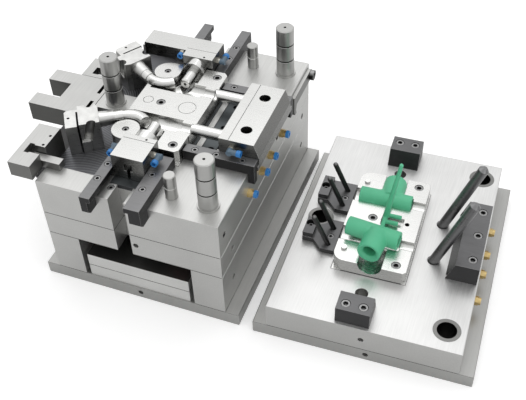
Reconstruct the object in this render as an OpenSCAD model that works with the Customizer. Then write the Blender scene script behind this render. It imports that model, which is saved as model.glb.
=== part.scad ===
// Two-cavity injection mould for a swept pipe tee, opened, with its halves side by side.
// X runs across both halves, Y is depth, Z is up. The origin is the centre of the mouth of the
// knockout bore in the underside of the moving half's clamp plate.

/* [Mould base] */
// Width of the main plates
plate_w = 400; // [380:1:420]
// Depth of every plate of the base
plate_d = 550; // [540:1:600]
// Width of the clamp plates of both halves
clamp_w = 460; // [440:1:500]
// Thickness of the moving half's clamp plate
clamp_t = 32; // [26:1:40]
// Height of the spacer blocks
spacer_h = 110; // [106:1:130]
// Width of one spacer block
spacer_w = 70; // [64:1:74]
// Thickness of the support plate
support_t = 60; // [54:1:70]
// Thickness of the core plate
core_t = 90; // [84:1:100]
// Thickness of the fixed half's clamp plate
fixed_clamp_t = 32; // [26:1:40]
// Thickness of the cavity plate
cavity_t = 63; // [58:1:80]
// Free space between the clamp plates of the two halves as they lie
halves_gap = 23; // [10:1:60]
// Chamfer along the plates' long edges
edge_chamfer = 1.5; // [0.5:0.5:3]
// Radius of the knockout bore in the moving half's clamp plate
knockout_r = 20; // [12:0.5:26]
// Radius of the eyebolt holes in the plates' front faces
eyebolt_r = 6; // [5:0.5:7]
// Depth of the eyebolt holes
eyebolt_depth = 24; // [16:1:26]

/* [Guide pillars] */
// Radius of a guide pillar
pillar_r = 20; // [16:0.5:22]
// Distance of the pillars' centres from the plates' sides
pillar_inset_x = 40; // [36:1:44]
// Distance of the two right pillars' centres from the plates' front and back
pillar_inset_y = 50; // [43:1:53]
// How far the left pillar stands off the middle, so that the halves close one way only
pillar_offset = 5; // [3:0.5:8]
// How far a pillar stands out of the core plate
pillar_out = 122; // [100:1:140]
// Radius of the collar at a pillar's foot
pillar_collar_r = 23; // [23:0.5:25]
// Wall of a guide bush
bush_wall = 8; // [5:0.5:9]
// How far the left guide bush stands proud of the cavity plate
bush_proud = 6; // [3:0.5:10]

/* [Ejection] */
// Thickness of each of the two ejector plates
ejector_t = 32; // [26:1:34]
// Side clearance between the ejector plates and the spacer blocks
ejector_gap = 11; // [5:1:14]
// Radius of a return pin
return_r = 12.5; // [10:0.5:13]
// Distance of the return pins from the middle, across
return_x = 81.5; // [78:0.5:84]
// How far the return pins stand out of the core plate
return_out = 58; // [50:0.5:80]
// Radius of an ejector pin
ejector_r = 4; // [2.5:0.5:5]
// Outer radius of a return spring
spring_r = 21; // [19:0.5:22]
// Depth of the spring pocket in the support plate
spring_pocket = 30; // [20:1:40]

/* [Inserts and cavities] */
// How far the inserts stand proud of their plates, up to the parting face
insert_proud = 33; // [31:0.5:36]
// Depth of the inserts in their plates
insert_seat = 50; // [40:1:55]
// Left side of the inserts
insert_left = -100; // [-102:1:-96]
// Right side of the inserts
insert_right = 58; // [54:1:60]
// Half the depth of the core insert
insert_y = 142; // [140:1:144]
// Distance of each tee's run from the middle
run_y = 60.5; // [60:0.5:64]
// Place of the branches across the mould
branch_x = -20; // [-22:0.5:-18]
// Outer radius of the moulded run
run_r = 20; // [19:0.5:20]
// Outer radius of the moulded branch
branch_r = 25; // [24:0.5:26]
// Bore radius of the moulded tee, which is the radius of the cores
bore_r = 12.5; // [11:0.5:13]

/* [Side actions] */
// Height of the slides above the core plate
slide_h = 58; // [56:1:60]
// Height of the swing blocks above the core plate
swing_h = 52.5; // [50:0.5:54]
// Half the depth of the right slide
slide_half = 95; // [90:1:97]
// Lean of the angle pins from upright
pin_lean = 18.7; // [15:0.1:20]
// Radius of an angle pin
pin_r = 11; // [9:0.5:13]
// Distance of the angle pins from the middle
pin_y = 54; // [50:1:58]
// Height of the angle pins above the cavity plate
pin_reach = 188; // [150:1:200]
// Height of the gib rails
gib_h = 24; // [22:0.5:28]
// Width of a gib rail
gib_w = 23; // [22:0.5:25]
// Width of the front right gib rail, which is the widest
wide_gib_w = 34; // [30:0.5:35]
// Width of the front and back slides' bodies
end_slide_w = 71; // [66:1:72]
// Radius of the swept core's centre line about its pivot disc
sweep_r = 45; // [44:0.5:47]
// Radius of a pivot disc
disc_r = 30; // [28:0.5:30]
// Turn of a swing block away from the mould's axes
swing_turn = 33; // [31:0.5:35]
// Lean of the cam fingers from upright
finger_lean = 23.5; // [18:0.5:25]
// Radius of a cam finger
finger_r = 5.5; // [4:0.5:6]

/* [Running clearance] */
// Radial clearance of every sliding or bored fit
fit = 0.05; // [0.02:0.01:0.08]
// Clearance between sliding flat faces
slip = 0.3; // [0.2:0.05:0.4]
// Width of the open seam round an insert or a wear plate
seam = 1; // [0.5:0.1:1.2]

/* [Hidden] */
$fn = 48;
eps = 0.01;
half_w = plate_w / 2;
half_d = plate_d / 2;

// Heights in the moving half
support_z = clamp_t + spacer_h;
core_z = support_z + support_t;
face_z = core_z + core_t;
parting_z = face_z + insert_proud;
slide_top = face_z + slide_h;
swing_top = face_z + swing_h;
ejector_top = clamp_t + 2 * ejector_t;
pillar_top = face_z + pillar_out;
return_top = face_z + return_out;

// The fixed half lies on its clamp plate to the right of the moving half, turned a little
fixed_x = clamp_w + halves_gap;
fixed_y = 4.1;
fixed_turn = 1.85;
fixed_face = fixed_clamp_t + cavity_t;
fixed_parting = fixed_face + insert_proud;
// Height of the cavity plate's face above the core plate's face once the mould is closed
closed_gap = 2 * insert_proud;

spacer_x = half_w - spacer_w / 2;
ejector_w = plate_w - 2 * spacer_w - 2 * ejector_gap;
ejector_d = plate_d - 4;
pillar_x = half_w - pillar_inset_x;
pillar_y = half_d - pillar_inset_y;
return_y = pillar_y;
bush_r = pillar_r + bush_wall;
pillars = [[-pillar_x, pillar_offset], [pillar_x, pillar_y], [pillar_x, -pillar_y]];
// The fixed half is turned over about X to close, so its bushes are mirrored
bushes = [for (p = pillars) [p[0], -p[1]]];
returns = [[return_x, return_y], [return_x, -return_y]];
// Rows of screws near the plates' front and back
end_row_y = half_d - 85;

// Support posts and ejector guides between the clamp plate and the support plate
post_r = 22;
post_gap = 2;
posts = [for (x = [-45, 45]) for (y = [-130, 130]) [x, y]];
guide_r = 10;
guide_seat = 12;
guide_x = ejector_w / 2 - 24;
guides = [[-guide_x, -end_row_y], [-guide_x, end_row_y]];
runner_ejectors = [[-9, -4], [33, 0]];
pin_head_h = 6;
pin_head_lip = 3;
tee_ejectors = [for (x = [-30, 20]) for (s = [-1, 1]) [x, s * run_y]];
ejectors = concat(runner_ejectors, tee_ejectors);

// Screws: M12 and M8 socket heads, and how deep they go below the face that they hold
m12_r = 6;
m12_head_r = 9;
m12_head_h = 12;
m8_r = 4;
m8_head_r = 6.5;
m8_head_h = 8;
head_room = 1;
socket_share = 0.95;
m12_grip = 24;
m8_grip = 16;

// Tapped holes for eyebolts and plugs in the plates' sides
side_hole_r = 7;
side_hole_depth = 12;
water_r = 6;

// Angle pins: foot on the cavity plate, and the travel that they give the slide
pin_foot_x = half_w - 99;
pin_slope = tan(pin_lean);
pin_seat = 44;
slide_right = half_w + 6.5;
slide_left = half_w - 70;
// The closed slide's face meets the side of the insert
slide_travel = slide_left - insert_right - slip;
// Place of the hole's mouth in the open slide, on the slide's top face
hole_x = pin_foot_x + (closed_gap - slide_h) * pin_slope + slide_travel;
heel_foot = 26;
// Collar on each core of the right slide, which shuts the channel off
collar_t = 6;
collar_lip = 2.5;
slide_seam_x = half_w - 49;
flange_h = 11;
flange_w = 8;
right_gib_left = insert_right + 1;
right_gib_right = half_w + 15;

// End slides: closed position, beside the branches
slide_mid = branch_x + 2;
gib_x = end_slide_w / 2 + 1;
gib_start = insert_y + 4;
front_gib_end = half_d + 32;
back_gib_end = half_d + 42;
hook_t = 8;
end_face_y = half_d - 65;
wedge_slope = 0.375;
front_seam_y = insert_y + 11;
back_seam_y = insert_y + 27;
end_nose_y = insert_y - 1;
wide_head_left = -half_w + 42;
wide_head_y = insert_y + 18;
core_seat = 14;
notch_y = half_d - 45;
notch_half = 17.5;

// Swing units, in the frame of the pivot and turned by swing_turn
pivot_x = -76;
pivot_y = 105;
tip_angle = 49;
block_near = 50.5;
block_slit = 93;
slit_w = 4;
block_far = 121;
block_in = sweep_r - 32.5;
block_out = sweep_r + 31;
strip_out = sweep_r + 20;
strip_proud = 4;
groove_x = -68;
groove_r = 9.5;
groove_lean = 16;
groove_foot = face_z + 8;
shank_r = bore_r + 1.5;
boss_r = shank_r + 3;
pocket_depth = 20;
pocket_right = insert_left + 15;
pocket_end = half_d - 53;
// Island between the two pockets, which carries the left pillar
island_half = 29;

// Left arm and brackets
arm_half = 64;
arm_t = 47;
arm_left = -half_w - 146;
arm_slot_x = -half_w - 88;
arm_slot_half = 26;
bracket_t = 36;
bracket_left = -half_w - 55;
bracket_right = -half_w - 4.5;
bracket_back = 150;
bar_half = 9.5;
bar_y = half_d - 51;
side_block_top = face_z - pocket_depth;
side_block_y = half_d - 60;

// Places of screws, fittings and pins
clamp_screws = [for (x = [-spacer_x, spacer_x]) for (y = [-end_row_y, 0, end_row_y]) [x, y]];
ejector_screw_x = ejector_w / 2 - 14;
ejector_screw_y = ejector_d / 2 - 33;
ejector_screws = [for (x = [-ejector_screw_x, ejector_screw_x])
    for (y = [-ejector_screw_y, 0, ejector_screw_y]) [x, y]];
// Where the angle pins reach into the closed moving half
pin_tip_z = face_z + closed_gap - pin_reach;
pin_slot_w = pin_r + 3;
pin_slot_x0 = pin_foot_x + closed_gap * pin_slope - pin_r - 2;
pin_slot_x1 = pin_foot_x + pin_reach * pin_slope + pin_r + 3;
plate_screws = [for (s = [-1, 1]) [slide_mid - notch_half - 9, s * (half_d - 33)]];
water_ys = [80, 5, -48, -118];
water_z = core_z + 38;
gib_top = face_z + gib_h;
right_gib_y = slide_half + slip;
gib_screw_in = 13;
// Air fittings screwed into the slides
fitting_z = slide_top - 18;
fitting_y = insert_y + 25;
elbow_seat = 8;
right_elbow_x = slide_left + 29;
// Ends of the moulded run
run_left = -87;
run_right = 28;
insert_screws = [[-44, 0], [38, -118], [38, 118]];
disc_screws = [[pivot_x, pivot_y], [pivot_x, -pivot_y]];
gib_screw_ys = [half_d - 71, half_d - 27];
end_gib_screws = [for (s = [-1, 1]) for (y = gib_screw_ys) [slide_mid + s * (gib_x + gib_screw_in), y]];
right_gib_screws = [for (s = [-1, 1]) for (x = [right_gib_left + 23, (right_gib_left + right_gib_right) / 2 - 8,
    right_gib_right - 29]) [x, s * (right_gib_y + gib_screw_in)]];
gib_screw_points = concat(end_gib_screws, [for (p = end_gib_screws) [p[0], -p[1]]], right_gib_screws);
// Hardened wear plates let into the core plate, flush with it, for the slides to run on
wear_spans = [[insert_right + 2, insert_right + 7.5], [insert_right + 22, insert_right + 54]];
wear_y = 88;
wear_t = 10;
wear_screw_x = insert_right + 42;
strap_y = half_d - 13;
strap_z = face_z - 21;
strap_t = 8;
strap_half = 13;
strap_len = 112;
hook_drop = 36;
sprue_x = branch_x + 2;
bush_body_r = 15;
bush_tip_r = 11;
ring_r = 50;
ring_t = 12;
nozzle_r = 18;
fixed_screws = [for (x = [-half_w + 30, half_w - 75]) for (y = [-end_row_y, end_row_y]) [x, y]];
cavity_y = insert_y - 4;
fixed_water_ys = [90, 20, -36, -110];
fixed_water_z = fixed_clamp_t + 34;
heel_right = half_w - 3;
heel_h = 47;
heel_screws = [for (y = [-70, 0, 70]) [heel_right - 17.6, y]];
wedge_h = 40;
wedge_w = 70;
wedge_outer = half_d - 7;
wedge_x = branch_x - 2;
wedge_screws = [for (s = [-1, 1]) for (dx = [-18, 18]) [wedge_x + dx, s * (half_d - 25)]];
lock_screws = concat(heel_screws, wedge_screws);
cavity_screws = [[-45, 0], [32, 119], [32, -119]];
pin_hole = 6;
pin_holes = [[-82, 104], [-82, -104]];

// Finger brackets: the same plate twice, one on each side of the left bush
finger_x = -pillar_x + 38;
finger_t = 12;
finger_step = 12;
finger_plate_ys = [-101, 21];
finger_dys = [16, 64];
finger_long = 78;
finger_screws = [for (y = finger_plate_ys) [finger_x, y + 40]];
block_screws = [for (y = finger_plate_ys) [finger_x - 49, y + 55]];

// The moulding
tee_left = 68;
tee_right = 47;
tee_h = 58;
// Radius of the sweep between a branch and the left end of its run
tee_sweep = 36;
sweep_tube = run_r - 1;

function rotated(p, a) = [p[0] * cos(a) - p[1] * sin(a), p[0] * sin(a) + p[1] * cos(a)];

// A rectangular plate with a small chamfer along its upper and lower long edges
module plate(w, d, t) {
    c = edge_chamfer;
    translate([0, d / 2, 0]) rotate([90, 0, 0]) linear_extrude(d)
        polygon([[-w / 2 + c, 0], [w / 2 - c, 0], [w / 2, c], [w / 2, t - c],
                 [w / 2 - c, t], [-w / 2 + c, t], [-w / 2, t - c], [-w / 2, c]]);
}

// A round bar or hole from z0 to z1
module rod(p, r, z0, z1) {
    translate([p[0], p[1], z0]) cylinder(r = r, h = z1 - z0);
}

// A bar or hole along X, at height z and depth y
module rod_x(x0, x1, y, z, r) {
    translate([x0, y, z]) rotate([0, 90, 0]) cylinder(r = r, h = x1 - x0);
}

// A bar or hole along Y, from y0 to y1
module rod_y(y0, y1, x, z, r) {
    translate([x, y0, z]) rotate([-90, 0, 0]) cylinder(r = r, h = y1 - y0);
}

module box(x0, x1, y0, y1, z0, z1) {
    translate([x0, y0, z0]) cube([x1 - x0, y1 - y0, z1 - z0]);
}

// Socket cap screw whose head's top face is at height z
module cap_screw(p, z, r, head_r, head_h, reach) {
    difference() {
        union() {
            rod(p, head_r, z - head_h, z);
            rod(p, r, z - reach, z - head_h + eps);
        }
        translate([p[0], p[1], z - head_h * 0.6]) cylinder(r = r * socket_share, h = head_h, $fn = 6);
    }
}

// Counterbore and clearance hole for such a screw
module screw_hole(p, z, r, head_r, head_h, reach) {
    rod(p, head_r + head_room, z - head_h, z + 1);
    rod(p, r + fit, z - reach, z - head_h + eps);
}

module mirror_y() {
    children();
    mirror([0, 1, 0]) children();
}

module in_fixed_half() {
    translate([fixed_x, fixed_y, 0]) rotate([0, 0, fixed_turn]) children();
}

// Moving half: the base

module bottom_clamp_plate() {
    color("#b9b9b7") difference() {
        plate(clamp_w, plate_d, clamp_t);
        rod([0, 0], knockout_r, -1, clamp_t + 1);
        for (p = clamp_screws) {
            rod(p, m12_head_r + head_room, -1, m12_head_h);
            rod(p, m12_r + fit, m12_head_h - eps, clamp_t + 1);
        }
        rod_y(-half_d - 1, -half_d + eyebolt_depth, 0, clamp_t / 2, eyebolt_r);
        for (p = guides) rod(p, guide_r + fit, clamp_t - guide_seat, clamp_t + 1);
    }
}

module spacer_block(side) {
    color("#8f8f8d") difference() {
        translate([side * spacer_x, 0, clamp_t]) plate(spacer_w, plate_d, spacer_h);
        for (p = clamp_screws) rod(p, m12_r + fit, clamp_t - 1, support_z + 1);
        if (side > 0) for (y = [-half_d + 56, half_d - 54])
            rod_x(half_w - side_hole_depth, half_w + 1, y, clamp_t + spacer_h / 2, side_hole_r);
    }
}

module support_pillars() {
    color("#9a9a98") for (p = posts) rod(p, post_r, clamp_t, support_z);
}

module ejector_outline(z0, z1) {
    box(-ejector_w / 2, ejector_w / 2, -ejector_d / 2, ejector_d / 2, z0, z1);
}

module ejector_base_plate() {
    color("#a5a5a3") difference() {
        ejector_outline(clamp_t, clamp_t + ejector_t);
        for (p = posts) rod(p, post_r + post_gap, clamp_t - 1, ejector_top);
        for (p = guides) rod(p, guide_r + fit, clamp_t - 1, ejector_top);
        for (p = ejector_screws) {
            rod(p, m8_head_r + head_room, clamp_t - 1, clamp_t + m8_head_h);
            rod(p, m8_r + fit, clamp_t, ejector_top);
        }
        // Tapped hole for the machine's ejector rod
        rod([0, 0], m12_r, clamp_t - 1, clamp_t + m12_grip);
    }
}

module ejector_retainer_plate() {
    z0 = clamp_t + ejector_t;
    color("#acacaa") difference() {
        ejector_outline(z0, ejector_top);
        for (p = posts) rod(p, post_r + post_gap, z0 - 1, ejector_top + 1);
        for (p = guides) rod(p, guide_r + fit, z0 - 1, ejector_top + 1);
        for (p = ejector_screws) rod(p, m8_r + fit, z0 - 1, z0 + m8_grip + 2);
        for (p = returns) headed_hole(p, return_r, z0);
        for (p = ejectors) headed_hole(p, ejector_r, z0);
    }
}

// Seat of a headed pin in the retainer plate
module headed_hole(p, r, z0) {
    rod(p, r + pin_head_lip + fit, z0 - 1, z0 + pin_head_h + fit);
    rod(p, r + fit, z0, ejector_top + 1);
}

module ejector_plate_screws() {
    color("#3b3b3d") for (p = ejector_screws) difference() {
        union() {
            rod(p, m8_head_r, clamp_t, clamp_t + m8_head_h);
            rod(p, m8_r, clamp_t + m8_head_h - eps, clamp_t + ejector_t + m8_grip);
        }
        translate([p[0], p[1], clamp_t - eps]) cylinder(r = m8_r * socket_share, h = m8_head_h / 2, $fn = 6);
    }
}

module ejector_pins() {
    z0 = clamp_t + ejector_t;
    color("#d6d6d4") {
        for (p = ejectors) rod(p, ejector_r + pin_head_lip, z0, z0 + pin_head_h);
        for (p = runner_ejectors) rod(p, ejector_r, z0 + pin_head_h - eps, parting_z);
        // These end at the bottom of the channels
        for (p = tee_ejectors) rod(p, ejector_r, z0 + pin_head_h - eps, parting_z - run_r);
    }
}

// A return pin has a head between the ejector plates and a groove near its top
module return_pins() {
    z0 = clamp_t + ejector_t;
    r = return_r;
    groove = return_top - return_out / 2;
    color("#c9c9c7") for (p = returns) translate([p[0], p[1], 0]) rotate_extrude()
        polygon([[0, z0], [r + pin_head_lip, z0], [r + pin_head_lip, z0 + pin_head_h],
                 [r, z0 + pin_head_h], [r, groove - 2], [r - 1, groove - 1], [r - 1, groove + 1],
                 [r, groove + 2], [r, return_top - 1.5], [r - 1.5, return_top], [0, return_top]]);
}

// Flat-wire die springs round the return pins, seated in pockets of the support plate
module return_springs() {
    turns = 6;
    wire_w = spring_r - return_r - 1;
    h = support_z + spring_pocket - ejector_top;
    color("#7d2f2c") for (p = returns) translate([p[0], p[1], ejector_top])
        linear_extrude(height = h, twist = -360 * turns, slices = 14 * turns, segments = 14)
            intersection() {
                difference() {
                    circle(r = spring_r, $fn = 20);
                    circle(r = spring_r - wire_w, $fn = 20);
                }
                polygon([for (a = [0:30:150]) 2 * spring_r * [cos(a), sin(a)], [0, 0]]);
            }
}

module ejector_guide_pins() {
    color("#c2c2c0") for (p = guides) rod(p, guide_r, clamp_t - guide_seat, support_z + guide_seat);
}

module support_plate() {
    color("#8a8a88") difference() {
        translate([0, 0, support_z]) plate(plate_w, plate_d, support_t);
        for (p = clamp_screws) rod(p, m12_r + fit, support_z - 1, support_z + m12_grip);
        for (p = guides) rod(p, guide_r + fit, support_z - 1, support_z + guide_seat + fit);
        for (p = returns) {
            rod(p, return_r + fit, support_z, core_z + 1);
            rod(p, spring_r + 1, support_z - 1, support_z + spring_pocket);
        }
        for (p = ejectors) rod(p, ejector_r + fit, support_z - 1, core_z + 1);
        end_notches(support_z);
        for (s = [-1, 1]) box(pin_slot_x0, pin_slot_x1, s * pin_y - pin_slot_w, s * pin_y + pin_slot_w,
                              pin_tip_z - 4, core_z + 1);
        rod_y(-half_d - 1, -half_d + eyebolt_depth, 10, support_z + support_t / 2, eyebolt_r);
        for (y = [-half_d + 60, half_d - 48])
            rod_x(half_w - side_hole_depth, half_w + 1, y, support_z + support_t / 2, side_hole_r);
    }
}

// The slots that take the coupling brackets of the front and back slides
module end_notches(z0) {
    mirror_y() box(slide_mid - notch_half, slide_mid + notch_half, -half_d - 1, -notch_y, z0 - 1, face_z + 1);
}

module core_plate() {
    island = [pillar_offset - island_half, pillar_offset + island_half];
    color("#dadad8") difference() {
        translate([0, 0, core_z]) plate(plate_w, plate_d, core_t);
        // Pocket of the core insert, with an open seam round its mouth
        box(insert_left - fit, insert_right + fit, -insert_y - fit, insert_y + fit,
            face_z - insert_seat, face_z + 1);
        box(insert_left - seam, insert_right + seam, -insert_y - seam, insert_y + seam, face_z - 3, face_z + 1);
        // Milled pockets in which the swing blocks turn
        box(-half_w - 1, pocket_right, -pocket_end, island[0], face_z - pocket_depth, face_z + 1);
        box(-half_w - 1, pocket_right, island[1], pocket_end, face_z - pocket_depth, face_z + 1);
        for (p = pillars) {
            rod(p, pillar_r + fit, core_z - 1, face_z + 1);
            rod(p, pillar_r + pin_head_lip + fit, core_z - 1, core_z + 8 + fit);
        }
        for (p = returns) rod(p, return_r + fit, core_z - 1, face_z + 1);
        for (p = ejectors) rod(p, ejector_r + fit, core_z - 1, face_z);
        for (s = [-1, 1]) box(pin_slot_x0, pin_slot_x1, s * pin_y - pin_slot_w, s * pin_y + pin_slot_w,
                              core_z - 1, face_z + 1);
        end_notches(core_z);
        wear_pockets();
        for (p = plate_screws) screw_hole(p, face_z, m8_r, m8_head_r, m8_head_h, m8_head_h + m8_grip);
        for (y = water_ys) rod_x(half_w - side_hole_depth, half_w + 1, y, water_z, water_r);
        for (y = [-half_d + 27, 56]) rod_x(half_w - side_hole_depth, half_w + 1, y, core_z + 45, side_hole_r);
        rod_x(half_w - 30, half_w + 1, strap_y, strap_z, m12_r + fit);
        for (p = gib_screw_points) rod(p, m8_r + fit, face_z - m8_grip, face_z + 1);
        for (p = disc_screws) rod(p, m8_r + fit, face_z - m8_grip, face_z + 1);
    }
}

module wear_pockets() {
    for (w = wear_spans) {
        box(w[0] - fit, w[1] + fit, -wear_y - fit, wear_y + fit, face_z - wear_t, face_z + 1);
        box(w[0] - seam, w[1] + seam, -wear_y - fit, wear_y + fit, face_z - 3, face_z + 1);
    }
    mirror_y() box(slide_mid - end_slide_w / 2 - fit, slide_mid + end_slide_w / 2 + fit,
                   -notch_y - 1, -gib_start, face_z - wear_t, face_z + 1);
}

// A guide pillar: shoulder in the plate, foot collar, two oil grooves and a centre hole on top
module guide_pillars() {
    r = pillar_r;
    lip = r + pin_head_lip;
    grooves = [pillar_top - 80, pillar_top - 40];
    color("#a9a9a7") for (p = pillars) translate([p[0], p[1], 0]) difference() {
        rotate_extrude() polygon(concat([[0, core_z], [lip, core_z], [lip, core_z + 8], [r, core_z + 8],
            [r, face_z + eps], [pillar_collar_r, face_z + eps], [pillar_collar_r, face_z + 4],
            [r, face_z + 4]], [for (g = grooves) for (q = [[0, -2], [-1.2, -1], [-1.2, 1], [0, 2]])
            [r + q[0], g + q[1]]], [[r, pillar_top - 2], [r - 2, pillar_top], [0, pillar_top]]));
        rod([0, 0], 3, pillar_top - 10, pillar_top + 1);
    }
}

// Core insert: a block whose parting face carries half of both tees' channels

module core_insert() {
    color("#f0f0ee") difference() {
        union() {
            box(insert_left, insert_right, -insert_y, insert_y, face_z - insert_seat, face_z);
            box(insert_left, insert_right, -84, 84, face_z - eps, parting_z);
            mirror_y() translate([0, 0, face_z - eps]) linear_extrude(insert_proud + eps)
                polygon([[branch_x - branch_r + 1, -80], [insert_right - 1, -80], [insert_right - 1, -130],
                         [insert_right - 9, -138], [branch_x - branch_r + 1, -138]]);
        }
        mirror_y() {
            rod_x(run_left - 2, run_right, -run_y, parting_z, run_r);
            rod_x(run_left, insert_right + 1, -run_y, parting_z, bore_r + slip);
            // Seat of the collar on the right slide's core
            rod_x(insert_right - collar_t - 1, insert_right + 1, -run_y, parting_z, bore_r + collar_lip + slip);
            rod_y(-86, -run_y, branch_x, parting_z, run_r);
            rod_y(-insert_y - 1, -85, branch_x, parting_z, branch_r);
            sweep_channel();
        }
        for (p = ejectors) rod(p, ejector_r + fit, face_z - insert_seat - 1, parting_z + 1);
        for (p = insert_screws)
            screw_hole(p, parting_z, m12_r, m12_head_r, m12_head_h, insert_proud + m12_grip + 13);
        for (p = disc_screws) rod(p, m8_r + fit, face_z - m8_grip, face_z + 1);
        // Marks of a flush plug and of a round insert
        ring_mark([-74, 0], 11);
        ring_mark([17.6, 0], 19);
    }
}

module ring_mark(p, r) {
    translate([p[0], p[1], parting_z]) rotate_extrude() translate([r - 0.5, -1.5]) square([1, 3]);
}

// The ring-shaped channel round a pivot disc, with room for the swing core to turn
module sweep_channel() {
    translate([pivot_x, -pivot_y, 0]) {
        translate([0, 0, parting_z]) rotate_extrude() translate([sweep_r, 0]) circle(r = shank_r + 0.5);
        rod([0, 0], sweep_r - 1, face_z, parting_z + 1);
    }
}

// A pivot disc fills the inside of the sweep and ends in a point towards the branch
module pivot_discs() {
    pivot_disc(-1);
    pivot_disc(1);
}

module pivot_disc(side) {
    reach = 43;
    lean = acos(disc_r / reach);
    color("#ececea") translate([pivot_x, side * pivot_y, 0]) difference() {
        translate([0, 0, face_z]) linear_extrude(insert_proud + 1) union() {
            circle(r = disc_r);
            polygon([[0, 0], rotated([disc_r, 0], side * (52 - lean)), rotated([reach, 0], side * 52),
                     rotated([disc_r, 0], side * (52 + lean))]);
        }
        rod([0, 0], m8_head_r + head_room, parting_z - 9, parting_z + 2);
        rod([0, 0], m8_r + fit, face_z - 1, parting_z);
    }
}

module insert_screw_set() {
    color("#2c2c2e") {
        for (p = disc_screws)
            cap_screw(p, parting_z - 1, m8_r, m8_head_r, m8_head_h, insert_proud + m8_grip - 2);
        for (p = insert_screws)
            cap_screw(p, parting_z - 1, m12_r, m12_head_r, m12_head_h - 1, insert_proud + m12_grip + 9);
    }
}

module plate_screw_set() {
    color("#2c2c2e") for (p = plate_screws)
        cap_screw(p, face_z - 1, m8_r, m8_head_r, m8_head_h - 1, m8_head_h + m8_grip - 2);
}

module clamp_screw_set() {
    color("#2c2c2e") for (p = clamp_screws) difference() {
        union() {
            rod(p, m12_head_r, 1, m12_head_h);
            rod(p, m12_r, m12_head_h - eps, support_z + m12_grip - 2);
        }
        translate([p[0], p[1], 0]) cylinder(r = m12_r * socket_share, h = m12_head_h * 0.6, $fn = 6);
    }
}

// Gib rails: an inner undercut at the foot holds the slide's flange

// Section of a gib that stands at 0..gib_w, with its slide on the side of x < 0
module gib_section(w) {
    polygon([[flange_w + slip, 0], [w, 0], [w, gib_h], [0, gib_h], [0, flange_h + slip],
             [flange_w + slip, flange_h + slip]]);
}

module end_gib(w, end) {
    difference() {
        union() {
            translate([gib_x, -gib_start, face_z]) rotate([90, 0, 0]) linear_extrude(end - gib_start)
                gib_section(w);
            // The hooked end of the rail, which reaches down past the plate's face
            translate([gib_x + flange_w + slip, 0, face_z]) rotate([90, 0, 90])
                linear_extrude(w - flange_w - slip)
                polygon([[-half_d - slip, eps], [-end, eps], [-end, -16], [-end + hook_t, -gib_h],
                         [-half_d - slip, -gib_h]]);
        }
        for (y = gib_screw_ys) translate([gib_x + gib_screw_in, -y, gib_top])
            screw_hole([0, 0], 0, m8_r, m8_head_r, m8_head_h, 2 * gib_h);
    }
}

module end_gibs(right_w, end) {
    translate([slide_mid, 0, 0]) {
        end_gib(right_w, end);
        mirror([1, 0, 0]) end_gib(gib_w, end);
    }
}

module front_gibs() { color("#77777a") end_gibs(wide_gib_w, front_gib_end); }
module back_gibs() { color("#77777a") mirror([0, 1, 0]) end_gibs(gib_w, back_gib_end); }

module right_gibs() {
    color("#77777a") mirror_y() difference() {
        union() {
            translate([right_gib_left, -right_gib_y, face_z]) rotate([90, 0, 90])
                linear_extrude(right_gib_right - right_gib_left) mirror([1, 0, 0]) gib_section(gib_w);
            // Hook over the plate's side
            box(half_w + slip, right_gib_right, -right_gib_y - gib_w, -right_gib_y - flange_w - slip,
                face_z - gib_h, face_z + eps);
        }
        for (p = right_gib_screws) if (p[1] < 0) screw_hole(p, gib_top, m8_r, m8_head_r, m8_head_h, 2 * gib_h);
    }
}

module gib_screws() {
    color("#2c2c2e") for (p = gib_screw_points)
        cap_screw(p, gib_top - 0.5, m8_r, m8_head_r, m8_head_h - 0.5, gib_h + m8_grip - 2);
}

// Right slide, drawn open: flanges in the gibs, sloped heel, angle-pin holes

module right_slide() {
    heel = (slide_h - heel_foot) * pin_slope;
    color("#ededeb") difference() {
        union() {
            translate([0, slide_half, face_z]) rotate([90, 0, 0]) linear_extrude(2 * slide_half)
                polygon([[slide_left, slip], [slide_right + heel, slip], [slide_right + heel, heel_foot],
                         [slide_right, slide_h], [slide_left, slide_h]]);
            box(slide_left, slide_right + heel, -slide_half - flange_w, slide_half + flange_w,
                face_z + slip, face_z + flange_h);
        }
        for (s = [-1, 1]) translate([hole_x, s * pin_y, slide_top]) rotate([0, -pin_lean, 0])
            translate([0, 0, -slide_h * 1.3]) cylinder(r = pin_r + 0.5, h = slide_h * 1.6);
        // The joint line of the front holder plate
        box(slide_seam_x - seam / 2, slide_seam_x + seam / 2, -slide_half - 1, slide_half + 1,
            slide_top - 2, slide_top + 1);
        for (s = [-1, 1]) rod_x(slide_left - 1, slide_left + 40, s * run_y, parting_z, bore_r + fit);
        translate([right_elbow_x, -slide_half, fitting_z]) rotate([90, 0, 0]) fitting_thread(fit);
    }
}

module right_slide_cores() {
    tip = slide_left - 73;
    color("#f4f4f2") for (s = [-1, 1]) difference() {
        union() {
            rod_x(tip, slide_left + 40, s * run_y, parting_z, bore_r);
            rod_x(slide_left - collar_t, slide_left, s * run_y, parting_z, bore_r + collar_lip);
        }
        // Bevelled tip that meets the swept core
        translate([tip, s * run_y, parting_z]) rotate([0, 0, s * 30]) box(-30, 2, -30, 30, -30, 30);
    }
}

module wear_plates() {
    w = end_slide_w / 2;
    color("#6b6e70") {
        difference() {
            for (w = wear_spans) box(w[0], w[1], -wear_y, wear_y, face_z - wear_t, face_z);
            for (y = [-72, 0, 72]) {
                rod([wear_screw_x, y], m8_head_r, face_z - 6, face_z + 1);
                rod([wear_screw_x, y], m8_r, face_z - wear_t - 1, face_z);
            }
        }
        mirror_y() box(slide_mid - w, slide_mid + w, -notch_y, -gib_start, face_z - wear_t, face_z);
    }
}

// Front and back slides, drawn in their closed place

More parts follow.
